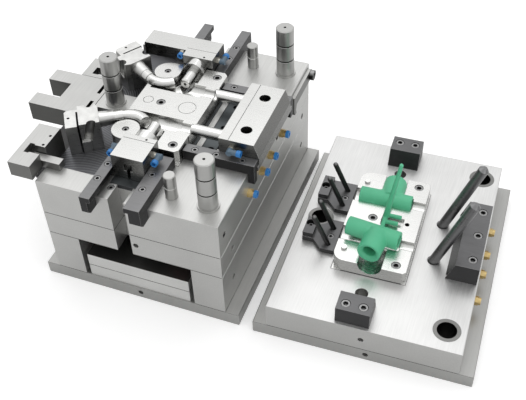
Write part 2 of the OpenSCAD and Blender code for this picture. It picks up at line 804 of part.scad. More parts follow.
module end_slide_body(wide, seam_y) {
    w = end_slide_w / 2;
    difference() {
        union() {
            box(slide_mid - w, slide_mid + w, -end_face_y, -end_nose_y, face_z + slip, slide_top);
            box(slide_mid - gib_x - flange_w, slide_mid + gib_x + flange_w, -end_face_y, -gib_start - 2,
                face_z + slip, face_z + flange_h);
            if (wide) box(wide_head_left, slide_mid - w + 1, -end_face_y, -wide_head_y, gib_top + 2, slide_top);
        }
        // T-slot for the coupling of a cylinder
        box(slide_mid - 9, slide_mid + 9, -end_face_y - 1, -end_face_y + 12, slide_top - 35, slide_top - 17);
        box(slide_mid - 4, slide_mid + 4, -end_face_y - 1, -end_face_y + 12, face_z - 1, slide_top - 34);
        // Joint line of the core holder
        box(slide_mid - w - 1, slide_mid + w + 1, -seam_y - seam / 2, -seam_y + seam / 2,
            slide_top - 2, slide_top + 1);
        rod_y(-end_nose_y - core_seat, -end_nose_y + 1, branch_x, parting_z, bore_r + fit);
        rod([branch_x + 16, -end_nose_y - 6], 2.5, slide_top - 10, slide_top + 1);
        end_fitting_places(wide) fitting_thread(fit);
    }
}

// Holder, core and chamfered tip with a socket in its end
module end_slide_core() {
    tip = run_y + bore_r + slip;
    color("#f4f4f2") difference() {
        union() {
            rod_y(-end_nose_y - core_seat, -tip - 3, branch_x, parting_z, bore_r);
            translate([branch_x, -tip - 3 - eps, parting_z]) rotate([-90, 0, 0])
                cylinder(r1 = bore_r, r2 = bore_r - 2.5, h = 3);
            rod_y(-end_nose_y + slip, -insert_y + 24, branch_x, parting_z, branch_r - 1);
        }
        translate([branch_x, -tip - 6, parting_z]) rotate([-90, 0, 0]) cylinder(r = 4, h = 8, $fn = 6);
    }
}

module front_slide() { color("#efefed") end_slide_body(false, front_seam_y); }
module back_slide() { color("#efefed") mirror([0, 1, 0]) end_slide_body(true, back_seam_y); }
module front_slide_core() { end_slide_core(); }
module back_slide_core() { mirror([0, 1, 0]) end_slide_core(); }

// Swing units, drawn about the front pivot; the back ones are mirrored

module swing_place() {
    translate([pivot_x, -pivot_y, 0]) rotate([0, 0, swing_turn]) children();
}

module swing_block_shape() {
    z0 = side_block_top + slip;
    y0 = block_in - strip_proud;
    swing_place() difference() {
        union() {
            translate([0, 0, z0]) linear_extrude(swing_top - z0) {
                polygon([[-block_slit - slit_w, y0], [-block_slit - slit_w, strip_out],
                         [-block_far + 5, strip_out], [-block_far, strip_out - 5], [-block_far, y0]]);
                polygon([[-block_slit, block_in], [-block_slit, block_out], [-block_near - 5, block_out],
                         [-block_near, block_out - 11], [-block_near, block_in]]);
                // Web that keeps the clamping strip on the block
                polygon([[-block_slit - slit_w - 1, strip_out], [-block_slit + 1, strip_out],
                         [-block_slit + 1, strip_out - 8], [-block_slit - slit_w - 1, strip_out - 8]]);
            }
            // Steps below the finger grooves
            box(-block_slit, groove_x - 7, y0, block_in + 1, z0, groove_foot);
            // Boss that carries the shank of the core
            translate([-block_near - eps, sweep_r, parting_z]) rotate([0, 90, 0])
                cylinder(r1 = boss_r, r2 = shank_r + 0.6, h = 32);
        }
        // Half-round grooves for the cam fingers
        for (y = [block_in, block_out]) translate([groove_x, y, swing_top]) rotate([0, groove_lean, 0])
            translate([0, 0, groove_foot - swing_top]) cylinder(r = groove_r, h = 60);
        rod([-block_far + 8, sweep_r - 5], 3, swing_top - 14, swing_top + 1);
        rod_x(-block_near - 34, -block_near + 33, sweep_r, parting_z, shank_r + fit);
    }
}

module swing_core_shape() {
    swing_place() rod_x(-block_near - 34, eps, sweep_r, parting_z, shank_r);
    translate([pivot_x, -pivot_y, parting_z]) rotate([0, 0, tip_angle])
        rotate_extrude(angle = 90 + swing_turn - tip_angle) translate([sweep_r, 0]) circle(r = bore_r);
}

module swing_block_front() { color("#f1f1ef") swing_block_shape(); }
module swing_block_back() { color("#f1f1ef") mirror([0, 1, 0]) swing_block_shape(); }
module swing_core_front() { color("#f6f6f4") swing_core_shape(); }
module swing_core_back() { color("#f6f6f4") mirror([0, 1, 0]) swing_core_shape(); }

// Left side: arm with a slot for a cylinder, black side blocks, brackets and link bars

module left_arm() {
    z0 = face_z - arm_t;
    y = pillar_offset;
    color("#dcdcda") difference() {
        box(arm_left, -half_w, y - arm_half, y + arm_half, z0, face_z);
        box(arm_left - 1, arm_slot_x, y - arm_slot_half, y + arm_slot_half, z0 - 1, face_z + 1);
        // Narrow slots beside the plate
        for (s = [-1, 1]) box(-half_w - 16, -half_w - 8, y + s * 31.5 - 17.5, y + s * 31.5 + 17.5,
                              face_z - 30, face_z + 1);
    }
}

module side_blocks() {
    z0 = side_block_top - 40;
    color("#2b2b2d") {
        box(bracket_left + 8, -half_w, -side_block_y, pillar_offset - arm_half - 2, z0, side_block_top);
        box(bracket_left + 8, -half_w, pillar_offset + arm_half + 2, side_block_y, z0, side_block_top);
    }
}

module side_brackets() {
    x1 = bracket_right;
    arm_edge = pillar_offset + arm_half + 1;
    top = face_z + bracket_t;
    color("#d2d2d0") {
        // In front, high above the side block
        difference() {
            union() {
                box(bracket_left, x1, -half_d, -bracket_back, face_z, top);
                box(bracket_left, x1, -side_block_y + 2, -bracket_back, side_block_top, face_z + eps);
            }
            box(x1 - 29.5, x1 + 1, -bar_y - bar_half - 1.5, -bar_y + bar_half + 1.5, face_z - 1, top + 1);
            box(x1 - 35.5, x1 - 24, -bar_y - 14, -bar_y + 14, face_z - 1, top + 1);
            for (y = [-178, -207]) rod([x1 - 7.5, y], 3, top - 12, top + 1);
        }
        // Behind the arm, lower and nearer
        difference() {
            box(bracket_left - 27, -half_w - 16, arm_edge, arm_edge + 66, side_block_top, face_z);
            box(bracket_left - 6, -half_w - 15, arm_edge + 11, arm_edge + 35, side_block_top - 1, face_z + 1);
            rod([bracket_left + 26, arm_edge + 5], 2, face_z - 8, face_z + 1);
        }
    }
}

module link_bar() {
    color("#e4e4e2") box(bracket_left + 23, -half_w + 36, -bar_y - bar_half, -bar_y + bar_half,
                         face_z, face_z + bracket_t / 2);
}

// Fittings

module fitting_thread(gap) {
    translate([0, 0, -elbow_seat - gap]) cylinder(r = 4.5 + gap, h = elbow_seat + gap + 1);
}

// Push-in elbow: threaded stem, hexagon and body along Z, and a hose collar that leaves along X
module elbow() {
    fitting_thread(0);
    cylinder(r = 7.5, h = 5, $fn = 6);
    translate([0, 0, 4.9]) cylinder(r = 6.4, h = 15);
    translate([0, 0, 13.5]) rotate([0, 90, 0]) difference() {
        union() {
            cylinder(r = 6.2, h = 17);
            translate([0, 0, 16.9]) cylinder(r = 7.2, h = 8);
        }
        translate([0, 0, 19]) cylinder(r = 4, h = 8);
    }
}

module straight_fitting() {
    fitting_thread(0);
    cylinder(r = 7.5, h = 5, $fn = 6);
    translate([0, 0, 4.9]) difference() {
        cylinder(r = 6.8, h = 12);
        translate([0, 0, 4]) cylinder(r = 4, h = 9);
    }
}

// Where the fittings of an end slide sit, drawn for the front one
module end_fitting_places(wide) {
    w = end_slide_w / 2;
    translate([slide_mid + w, -fitting_y, fitting_z]) rotate([0, 90, 0]) rotate([0, 0, -90]) children();
    if (wide) translate([slide_mid - w - 9, -wide_head_y, slide_top - 8]) rotate([-90, 0, 0]) children();
    else translate([slide_mid - w, -fitting_y, fitting_z]) rotate([0, -90, 0]) rotate([0, 0, -90]) children();
}

module front_slide_fittings() { color("#5d7486") end_fitting_places(false) elbow(); }

module back_slide_fittings() {
    color("#5d7486") mirror([0, 1, 0]) {
        translate([slide_mid + end_slide_w / 2, -fitting_y, fitting_z]) rotate([0, 90, 0])
            rotate([0, 0, -90]) elbow();
        translate([slide_mid - end_slide_w / 2 - 9, -wide_head_y, slide_top - 8]) rotate([-90, 0, 0])
            straight_fitting();
    }
}

module right_slide_fitting() {
    color("#5d7486") translate([right_elbow_x, -slide_half, fitting_z]) rotate([90, 0, 0]) elbow();
}

// Water fitting along +X: thread, hexagon and sleeve
module water_fitting(z) {
    translate([half_w, 0, z]) rotate([0, 90, 0]) {
        translate([0, 0, -side_hole_depth]) cylinder(r = water_r - fit, h = side_hole_depth + eps);
        cylinder(r = 10, h = 8, $fn = 6);
        translate([0, 0, 7.9]) cylinder(r = 8, h = 5);
    }
}

module water_fittings() {
    color("#b98a3e") {
        for (y = water_ys) translate([0, y, 0]) water_fitting(water_z);
        in_fixed_half() for (y = fixed_water_ys) translate([0, y, 0]) water_fitting(fixed_water_z);
    }
}

// Release collars, on the moving half only
module water_collars() {
    color("#2f7fc4") for (y = water_ys) translate([half_w + 12.9, y, water_z]) rotate([0, 90, 0]) difference() {
        cylinder(r = 8.5, h = 7);
        translate([0, 0, 1]) cylinder(r = 5, h = 7);
    }
}

// Safety strap on the moving half's right side, turning on its shoulder bolt

module safety_strap() {
    x0 = half_w + slip;
    y1 = strap_y - strap_len;
    color("#8c8c8a") difference() {
        union() {
            box(x0, x0 + strap_t, y1, strap_y, strap_z - strap_half, strap_z + strap_half);
            rod_x(x0, x0 + strap_t, strap_y, strap_z, strap_half);
            // Hook at the free end
            translate([x0, 0, 0]) rotate([90, 0, 90]) linear_extrude(strap_t)
                polygon([[y1 - 2, strap_z + strap_half], [y1 + 16, strap_z - strap_half],
                         [y1 + 9, strap_z - hook_drop + 12], [y1 + 13, strap_z - hook_drop],
                         [y1 + 3, strap_z - hook_drop], [y1 - 3, strap_z - hook_drop + 14]]);
        }
        rod_x(x0 - 1, x0 + strap_t + 1, strap_y, strap_z, 8 + fit);
    }
}

module strap_bolt() {
    color("#3a3a3c") translate([half_w, strap_y, strap_z]) rotate([0, 90, 0]) difference() {
        union() {
            translate([0, 0, -m12_grip]) cylinder(r = m12_r, h = m12_grip + 1);
            cylinder(r = 8, h = strap_t + 2 * slip);
            translate([0, 0, strap_t + 2 * slip - eps]) cylinder(r = 12, h = 9);
        }
        translate([0, 0, strap_t + 5]) cylinder(r = 6, h = 8, $fn = 6);
    }
}

// Fixed half

module top_clamp_plate() {
    color("#c6c6c4") in_fixed_half() difference() {
        plate(clamp_w, plate_d, fixed_clamp_t);
        rod([sprue_x, 0], ring_r + fit, -1, ring_t + fit);
        rod([sprue_x, 0], bush_body_r + fit, 0, fixed_clamp_t + 1);
        for (p = fixed_screws) {
            rod(p, m12_head_r + head_room, -1, m12_head_h);
            rod(p, m12_r + fit, m12_head_h - eps, fixed_clamp_t + 1);
        }
        rod_y(-half_d - 1, -half_d + eyebolt_depth, 12, fixed_clamp_t / 2, eyebolt_r);
    }
}

module locating_ring() {
    color("#b0b0ae") in_fixed_half() difference() {
        rod([sprue_x, 0], ring_r, 0, ring_t);
        rod([sprue_x, 0], nozzle_r, -1, ring_t + 1);
    }
}

module sprue_bush() {
    shoulder = fixed_face - bush_body_r;
    top = fixed_parting - 9;
    color("#cfcfcd") in_fixed_half() translate([sprue_x, 0, 0]) rotate_extrude()
        polygon([[3.5, ring_t], [bush_body_r, ring_t], [bush_body_r, shoulder], [bush_tip_r, shoulder],
                 [bush_tip_r, top], [2.4, top]]);
}

module cavity_plate() {
    color("#e6e6e4") in_fixed_half() difference() {
        translate([0, 0, fixed_clamp_t]) plate(plate_w, plate_d, cavity_t);
        box(insert_left - fit, insert_right + fit, -cavity_y - fit, cavity_y + fit,
            fixed_face - insert_seat, fixed_face + 1);
        box(insert_left - seam, insert_right + seam, -cavity_y - seam, cavity_y + seam,
            fixed_face - 3, fixed_face + 1);
        rod([sprue_x, 0], bush_body_r + fit, fixed_clamp_t - 1, fixed_face);
        for (p = bushes) rod(p, bush_r + fit, fixed_clamp_t - 1, fixed_face + 1);
        for (p = fixed_screws) rod(p, m12_r + fit, fixed_clamp_t - 1, fixed_clamp_t + m12_grip);
        for (s = [-1, 1]) {
            rod([wedge_x, s * (end_face_y - 25)], 13.5, fixed_face - 40, fixed_face + 1);
            angle_pin_place(s) translate([0, 0, -pin_seat - 1]) cylinder(r = pin_r + fit, h = pin_seat + 15);
            // Relief round the pin's foot
            rod([pin_foot_x, s * pin_y], pin_r + 2.5, fixed_face - 2, fixed_face + 1);
            rod([finger_x, s * 37], 3, fixed_face - 10, fixed_face + 1);
        }
        for (p = lock_screws) rod(p, m12_r + fit, fixed_face - m12_grip, fixed_face + 1);
        for (p = concat(finger_screws, block_screws)) rod(p, m8_r + fit, fixed_face - m8_grip, fixed_face + 1);
        for (y = fixed_water_ys) rod_x(half_w - side_hole_depth, half_w + 1, y, fixed_water_z, water_r);
        rod_y(-half_d - 1, -half_d + eyebolt_depth, 0, fixed_clamp_t + 30, eyebolt_r);
    }
}

module cavity_insert() {
    r = 24;
    top = fixed_parting;
    color("#f3f3f1") in_fixed_half() difference() {
        union() {
            box(insert_left, insert_right, -cavity_y, cavity_y, fixed_face - insert_seat, fixed_face);
            translate([0, 0, fixed_face - eps]) linear_extrude(insert_proud + eps) union() {
                polygon([[insert_left + r, -cavity_y], [insert_right - 8, -cavity_y], [insert_right - 2, -cavity_y + 6],
                         [insert_right - 2, cavity_y - 6], [insert_right - 8, cavity_y], [insert_left + r, cavity_y]]);
                polygon([[insert_left, -cavity_y + r], [insert_left + r, -cavity_y + r],
                         [insert_left + r, cavity_y - r], [insert_left, cavity_y - r]]);
                for (s = [-1, 1]) translate([insert_left + r, s * (cavity_y - r)]) circle(r = r);
            }
        }
        mirror_y() {
            rod_x(insert_left - 1, run_right + slip, -run_y, top, run_r + slip);
            rod_x(insert_left - 1, insert_right + 1, -run_y, top, bore_r + slip);
            rod_y(-cavity_y - 1, -run_y, branch_x, top, branch_r + slip);
            translate([branch_x, -run_y, top]) tee_fillet(slip);
        }
        rod([sprue_x, 0], bush_tip_r + fit, fixed_face - insert_seat - 1, top - 8.9);
        rod([sprue_x, 0], bush_body_r + fit, fixed_face - insert_seat - 1, fixed_face - bush_body_r + fit);
        rod([sprue_x, 0], 9, top - 9, top + 1);
        box(sprue_x - 8, 22, -14, 14, top - 7, top + 1);
        for (p = cavity_screws) screw_hole(p, top, m12_r, m12_head_r, m12_head_h, insert_proud + m12_grip + 13);
        for (p = pin_holes) rod(p, pin_hole + fit, top - 20, top + 1);
        rod([30, 0], 5, top - 30, top + 1);
    }
}

module locating_pins() {
    color("#e9e9e7") in_fixed_half() for (p = pin_holes) rod(p, pin_hole, fixed_parting - 20, fixed_parting + 5);
}

// Guide bushes; the left one stands proud of the plate
module guide_bushes() {
    color("#6d6d6b") in_fixed_half() for (p = bushes) {
        top = fixed_face + (p[0] < 0 ? bush_proud : 0);
        difference() {
            rod(p, bush_r, fixed_clamp_t, top);
            rod(p, pillar_r + fit, fixed_clamp_t - 1, top + 1);
        }
    }
}

module angle_pin_place(s) {
    translate([pin_foot_x, s * pin_y, fixed_face]) rotate([0, pin_lean, 0]) children();
}

module angle_pins() {
    long = pin_reach / cos(pin_lean);
    nose = pin_r * 0.6;
    color("#6a6a6c") in_fixed_half() for (s = [-1, 1]) angle_pin_place(s) {
        translate([0, 0, -pin_seat]) cylinder(r = pin_r, h = pin_seat + long - nose);
        translate([0, 0, long - nose - eps]) cylinder(r1 = pin_r, r2 = pin_r * 0.45, h = nose);
    }
}

module heel_block() {
    h = heel_h;
    // The face that wedges the closed slide home
    left = slide_right - slide_travel - (closed_gap - slide_h) * pin_slope + fit;
    color("#6b6b6d") in_fixed_half() difference() {
        translate([0, slide_half, fixed_face]) rotate([90, 0, 0]) linear_extrude(2 * slide_half)
            polygon([[left, 0], [heel_right, 0], [heel_right, h], [left + h * pin_slope, h]]);
        for (s = [-1, 1]) rod([left + 2, s * (slide_half - 6)], 5, fixed_face - 1, fixed_face + h + 1);
        for (p = heel_screws) screw_hole(p, fixed_face + h, m12_r, m12_head_r, m12_head_h, h + 1);
    }
}

module wedge_shape() {
    h = wedge_h;
    inner = end_face_y - (closed_gap - slide_h) * wedge_slope + fit;
    difference() {
        translate([wedge_x - wedge_w / 2, 0, fixed_face]) rotate([90, 0, 90]) linear_extrude(wedge_w)
            polygon([[-wedge_outer, 0], [-inner, 0], [-inner - h * wedge_slope, h], [-wedge_outer, h]]);
        for (p = wedge_screws) if (p[1] < 0) screw_hole(p, fixed_face + h, m12_r, m12_head_r, m12_head_h, h + 1);
    }
}

module wedge_block_front() { color("#5c5c5e") in_fixed_half() wedge_shape(); }
module wedge_block_back() { color("#5c5c5e") in_fixed_half() mirror([0, 1, 0]) wedge_shape(); }

// One finger bracket, with a raised block that its second screw holds down
module finger_plate(y) {
    t = finger_t;
    difference() {
        translate([finger_x, y, fixed_face]) union() {
            linear_extrude(t) polygon([[17, 0], [-14, 0], [-26, 13], [-35, 22], [-59, 22], [-59, 88], [17, 88]]);
            box(-59, -36, 24, 86, t - eps, t + finger_step);
        }
        rod(bushes[0], bush_r + 1, fixed_face - 1, fixed_face + t + finger_step + 1);
        for (p = finger_screws) screw_hole(p, fixed_face + t, m8_r, m8_head_r, m8_head_h, t + 1);
        for (p = block_screws) {
            rod(p, m8_r + fit, fixed_face - 1, fixed_face + t);
            rod(p, m8_head_r + 3, fixed_face + t - 4, fixed_face + t + finger_step + 1);
        }
        for (dy = finger_dys) finger_place(y + dy) translate([0, 0, -t / cos(finger_lean)])
            cylinder(r = finger_r + fit, h = 2 * t);
    }
}

module finger_place(y) {
    translate([finger_x, y, fixed_face + finger_t]) rotate([0, -finger_lean, 0]) children();
}

module finger_plates() {
    color("#a9a9a7") in_fixed_half() for (y = finger_plate_ys) finger_plate(y);
}

module cam_fingers() {
    color("#3f3f41") in_fixed_half() for (y = finger_plate_ys) for (dy = finger_dys) finger_place(y + dy) {
        translate([0, 0, -finger_t + 3]) cylinder(r = finger_r, h = finger_long + finger_t - 3);
        translate([0, 0, finger_long]) sphere(r = finger_r);
    }
}

module fixed_half_screws() {
    long = m12_grip - 2;
    color("#2c2c2e") in_fixed_half() {
        for (p = cavity_screws)
            cap_screw(p, fixed_parting - 1, m12_r, m12_head_r, m12_head_h - 1, insert_proud + m12_grip + 9);
        for (p = heel_screws)
            cap_screw(p, fixed_face + heel_h - 1, m12_r, m12_head_r, m12_head_h - 1, heel_h + long);
        for (p = wedge_screws)
            cap_screw(p, fixed_face + wedge_h - 1, m12_r, m12_head_r, m12_head_h - 1, wedge_h + long);
        for (p = finger_screws)
            cap_screw(p, fixed_face + finger_t - 1, m8_r, m8_head_r, m8_head_h - 1, finger_t + m8_grip - 4);
        for (p = block_screws)
            cap_screw(p, fixed_face + finger_t + 3, m8_r, m8_head_r, m8_head_h - 1, finger_t + m8_grip);
    }
}

// The moulding: two swept tees on a runner, with the sprue; the front tee lies loose on its channel

module tee() {
    difference() {
        union() {
            rod_x(-tee_left, tee_right, 0, 0, run_r);
            rod_y(-tee_h, 0, 0, 0, branch_r);
            tee_fillet(0);
        }
        rod_x(-tee_left - 1, tee_right + 1, 0, 0, bore_r);
        rod_y(-tee_h - 1, 0, 0, 0, bore_r + 1);
        translate([0, -tee_h - eps, 0]) rotate([-90, 0, 0]) cylinder(r1 = branch_r - 5, r2 = bore_r + 1, h = 6);
    }
}

// Swept corner between the branch and the left end of the run
module tee_fillet(gap) {
    translate([-tee_sweep, -tee_sweep, 0]) rotate_extrude(angle = 90)
        translate([tee_sweep, 0]) circle(r = sweep_tube + gap);
}

module moulded_shot() {
    color("#4fb488") in_fixed_half() {
        translate([branch_x, run_y, fixed_parting]) mirror([0, 1, 0]) tee();
        translate([branch_x, -run_y - 3, fixed_parting + run_r - 1]) rotate([0, 0, -7.4]) tee();
        // Runner between the tees, raised clear of the insert
        translate([sprue_x, 0, 0]) {
            rod_y(-run_y + 14, run_y - 14, 0, fixed_parting + 12, 5);
            rod_x(0, 34, 8, fixed_parting + 8, 5);
            rod_x(0, 30, -12, fixed_parting + 8, 5);
            translate([0, 0, fixed_parting + 8]) rotate([0, 7.7, 0]) cylinder(r1 = 7, r2 = 4.2, h = 162);
        }
    }
}

bottom_clamp_plate();
spacer_block(-1);  // spacer_block_left
spacer_block(1);  // spacer_block_right
support_pillars();
ejector_base_plate();
ejector_retainer_plate();
ejector_plate_screws();
ejector_pins();
return_pins();
return_springs();
ejector_guide_pins();
support_plate();
core_plate();
guide_pillars();
core_insert();
pivot_discs();
insert_screw_set();
plate_screw_set();
clamp_screw_set();
front_gibs();
back_gibs();
right_gibs();
gib_screws();
right_slide();
right_slide_cores();
wear_plates();
front_slide();
front_slide_core();
back_slide();
back_slide_core();
swing_block_front();
swing_block_back();
swing_core_front();
swing_core_back();
left_arm();
side_blocks();
side_brackets();
link_bar();
front_slide_fittings();
back_slide_fittings();
right_slide_fitting();
water_fittings();
water_collars();
safety_strap();
strap_bolt();
top_clamp_plate();
locating_ring();
sprue_bush();
cavity_plate();
cavity_insert();
locating_pins();
guide_bushes();
angle_pins();
heel_block();
wedge_block_front();
wedge_block_back();
finger_plates();
cam_fingers();
fixed_half_screws();
moulded_shot();
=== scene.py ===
import bpy
import math
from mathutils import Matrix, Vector


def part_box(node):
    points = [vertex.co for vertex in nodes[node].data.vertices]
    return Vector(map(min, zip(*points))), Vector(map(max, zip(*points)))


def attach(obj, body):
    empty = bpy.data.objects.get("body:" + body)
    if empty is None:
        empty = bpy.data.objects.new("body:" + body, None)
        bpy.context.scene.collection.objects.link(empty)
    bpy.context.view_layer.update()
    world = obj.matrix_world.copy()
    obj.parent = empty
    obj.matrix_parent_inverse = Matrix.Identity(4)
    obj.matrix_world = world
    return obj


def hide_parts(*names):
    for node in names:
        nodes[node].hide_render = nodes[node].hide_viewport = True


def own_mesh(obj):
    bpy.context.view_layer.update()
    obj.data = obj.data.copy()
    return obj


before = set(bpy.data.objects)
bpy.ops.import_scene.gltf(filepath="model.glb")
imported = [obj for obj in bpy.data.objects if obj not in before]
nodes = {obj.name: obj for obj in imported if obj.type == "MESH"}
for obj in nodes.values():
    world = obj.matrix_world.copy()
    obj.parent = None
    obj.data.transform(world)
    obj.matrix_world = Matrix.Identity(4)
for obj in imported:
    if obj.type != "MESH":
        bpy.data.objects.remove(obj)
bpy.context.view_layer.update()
scene = bpy.context.scene
print("mould loaded with", len(nodes), "CAD parts")

# Camera, solved from the plates' corners in the photograph
cameraLook = {"place": (0.70336, -1.28841, 1.49471), "turn": (0.78328, 0.02603, 0.35705), "lens": 59.495,
              "sensor": 36.0, "reach": 60.0}
bpy.ops.object.camera_add(location=cameraLook["place"], rotation=cameraLook["turn"])
camera = bpy.context.object
camera.name = "mouldCamera"
camera.data.lens = cameraLook["lens"]
camera.data.sensor_width = cameraLook["sensor"]
camera.data.clip_end = cameraLook["reach"]
scene.camera = camera
print("camera set")


def colour(hexText):  # sRGB hex to the linear values that the shader wants
    parts = [int(hexText[i:i + 2], 16) / 255.0 for i in (1, 3, 5)]
    return tuple(c / 12.92 if c <= 0.04045 else ((c + 0.055) / 1.055) ** 2.4 for c in parts) + (1.0,)


def addNode(tree, kind, settings=None, links=None):
    node = tree.nodes.new(kind)
    for key, value in (settings or {}).items():
        if isinstance(key, int) or key in node.inputs:
            node.inputs[key].default_value = value
        else:
            setattr(node, key, value)
    for key, source in (links or {}).items():
        tree.links.new(source, node.inputs[key])
    return node


def newFinish(name):
    finish = bpy.data.materials.new(name)
    finish.use_nodes = True
    finish.node_tree.nodes.clear()
    return finish, finish.node_tree


# What all the steels share: how the noises, a face's level (painted light from above), bright edges
# (painted highlight and wear) and corners (painted shade) turn into tone
steelDetail = {
    "streakDetail": 3.0, "streakRoughness": 0.62, "streakFrom": 0.25, "streakTo": 0.75, "streakLift": 0.4,
    "cloudScale": 11.0, "cloudDetail": 2.0, "cloudRoughness": 0.5, "cloudFrom": 0.3, "cloudTo": 0.7,
    "levelFrom": 0.35, "levelTo": 0.9, "rubAndSheenFrom": 0.995, "rubAndSheenTo": 0.86, "edgeRoundingSamples": 4,
    "cornerFrom": 0.15, "cornerTo": 0.62, "cornerSamples": 6,
    "roughFrom": 0.3, "roughTo": 0.7, "roughFall": 0.3, "roughRise": 0.8, "bumpDepth": 0.0004,
}
# A face cutter's rings are under 1 mm apart: they are drawn 5 mm apart so that they show
cutterLook = {"centre": (0.21, -0.03, 0.0), "scale": 62.0, "waver": 0.6, "waverDetail": 1.0}
# The seam band is painted shade where two plates meet, with lubricant there too
seamLook = {"halfWidth": 0.0009, "oil": "#2e2e2c"}


# Machined steel: grinding or milling streaks, cloudy patches, tops painted lighter and sides darker as
# painted light from above, seams and corners painted dark as painted shade with lubricant, and edges
# painted bright as a painted highlight and as wear from handling. Metal keeps the default IOR.
def machinedSteel(name, look):
    finish, tree = newFinish(name)
    coords = addNode(tree, "ShaderNodeTexCoord")
    grain = addNode(tree, "ShaderNodeMapping", {"Scale": look["grain"]},
                    {"Vector": coords.outputs["Object"]})
    streaks = addNode(tree, "ShaderNodeTexNoise", {"Scale": 1.0, "Detail": steelDetail["streakDetail"],
                      "Roughness": steelDetail["streakRoughness"]}, {"Vector": grain.outputs["Vector"]})
    clouds = addNode(tree, "ShaderNodeTexNoise", {"Scale": steelDetail["cloudScale"],
                     "Detail": steelDetail["cloudDetail"], "Roughness": steelDetail["cloudRoughness"]},
                     {"Vector": coords.outputs["Object"]})
    # A face's level picks its tone: faces turned up get the painted lit top tone, the rest get the painted
    # shaded side tone
    facing = addNode(tree, "ShaderNodeSeparateXYZ", {}, {"Vector": coords.outputs["Normal"]})
    upward = addNode(tree, "ShaderNodeMapRange", {"From Min": steelDetail["levelFrom"],
                     "From Max": steelDetail["levelTo"]}, {"Value": facing.outputs["Z"]})
    place = addNode(tree, "ShaderNodeSeparateXYZ", {}, {"Vector": coords.outputs["Object"]})
    # Rings that a face cutter leaves on a sunken floor, the same on both sides of the middle; the sunken
    # floor is painted dark as painted shade in the recess
    mirroredY = addNode(tree, "ShaderNodeMath", {"operation": "ABSOLUTE"}, {0: place.outputs["Y"]})
    floorPlace = addNode(tree, "ShaderNodeCombineXYZ", {},
                         {"X": place.outputs["X"], "Y": mirroredY.outputs["Value"]})
    cutterPlace = addNode(tree, "ShaderNodeMapping", {"Location": cutterLook["centre"]},
                          {"Vector": floorPlace.outputs["Vector"]})
    cutterRings = addNode(tree, "ShaderNodeTexWave", {"wave_type": "RINGS", "rings_direction": "Z",
                          "Scale": cutterLook["scale"], "Distortion": cutterLook["waver"],
                          "Detail": cutterLook["waverDetail"]}, {"Vector": cutterPlace.outputs["Vector"]})
    shadedFloorRings = addNode(tree, "ShaderNodeMix", {"data_type": "RGBA", 6: colour(look["low"]),
                        7: colour(look["lowStreak"])}, {0: cutterRings.outputs["Fac"]})
    aboveFloor = addNode(tree, "ShaderNodeMath", {"operation": "GREATER_THAN", 1: look["lowHeight"]},
                         {0: place.outputs["Z"]})
    topTone = addNode(tree, "ShaderNodeMix", {"data_type": "RGBA", 7: colour(look["top"])},
                      {0: aboveFloor.outputs["Value"], 6: shadedFloorRings.outputs[2]})
    paintedFaceTone = addNode(tree, "ShaderNodeMix", {"data_type": "RGBA", 6: colour(look["side"])},
                  {0: upward.outputs["Result"], 7: topTone.outputs[2]})
    for seamHeight in look["seams"]:  # painted shade, with lubricant, in a thin dark band on side faces where two plates meet
        onSeam = addNode(tree, "ShaderNodeMath", {"operation": "COMPARE", 1: seamHeight,
                         2: seamLook["halfWidth"]}, {0: place.outputs["Z"]})
        sideSeam = addNode(tree, "ShaderNodeMath", {"operation": "SUBTRACT", "use_clamp": True},
                           {0: onSeam.outputs["Value"], 1: upward.outputs["Result"]})
        paintedFaceTone = addNode(tree, "ShaderNodeMix", {"data_type": "RGBA", 7: colour(seamLook["oil"])},
                      {0: sideSeam.outputs["Value"], 6: paintedFaceTone.outputs[2]})
    streakTone = addNode(tree, "ShaderNodeMapRange", {"From Min": steelDetail["streakFrom"],
                         "From Max": steelDetail["streakTo"], "To Min": 1.0 - look["streak"],
                         "To Max": 1.0 + look["streak"] * steelDetail["streakLift"]},
                         {"Value": streaks.outputs["Fac"]})
    cloudTone = addNode(tree, "ShaderNodeMapRange", {"From Min": steelDetail["cloudFrom"],
                        "From Max": steelDetail["cloudTo"], "To Min": 1.0 - look["cloud"], "To Max": 1.0},
                        {"Value": clouds.outputs["Fac"]})
    tone = addNode(tree, "ShaderNodeMath", {"operation": "MULTIPLY"},
                   {0: streakTone.outputs["Result"], 1: cloudTone.outputs["Result"]})
    toned = addNode(tree, "ShaderNodeVectorMath", {"operation": "SCALE"},
                    {0: paintedFaceTone.outputs[2], "Scale": tone.outputs["Value"]})
    # Edges are painted bright: a painted highlight where edges catch the light, and wear from handling
    rounded = addNode(tree, "ShaderNodeBevel",
                      {"samples": steelDetail["edgeRoundingSamples"], "Radius": look["edge"]})
    flat = addNode(tree, "ShaderNodeNewGeometry")
    turned = addNode(tree, "ShaderNodeVectorMath", {"operation": "DOT_PRODUCT"},
                     {0: rounded.outputs["Normal"], 1: flat.outputs["Normal"]})
    rubbedAndSheen = addNode(tree, "ShaderNodeMapRange", {"From Min": steelDetail["rubAndSheenFrom"],
                     "From Max": steelDetail["rubAndSheenTo"], "To Max": look["rubAndSheen"]},
                     {"Value": turned.outputs["Value"]})
    wearAndSheen = addNode(tree, "ShaderNodeMix", {"data_type": "RGBA", 7: colour(look["wearAndSheen"])},
                   {0: rubbedAndSheen.outputs["Result"], 6: toned.outputs["Vector"]})
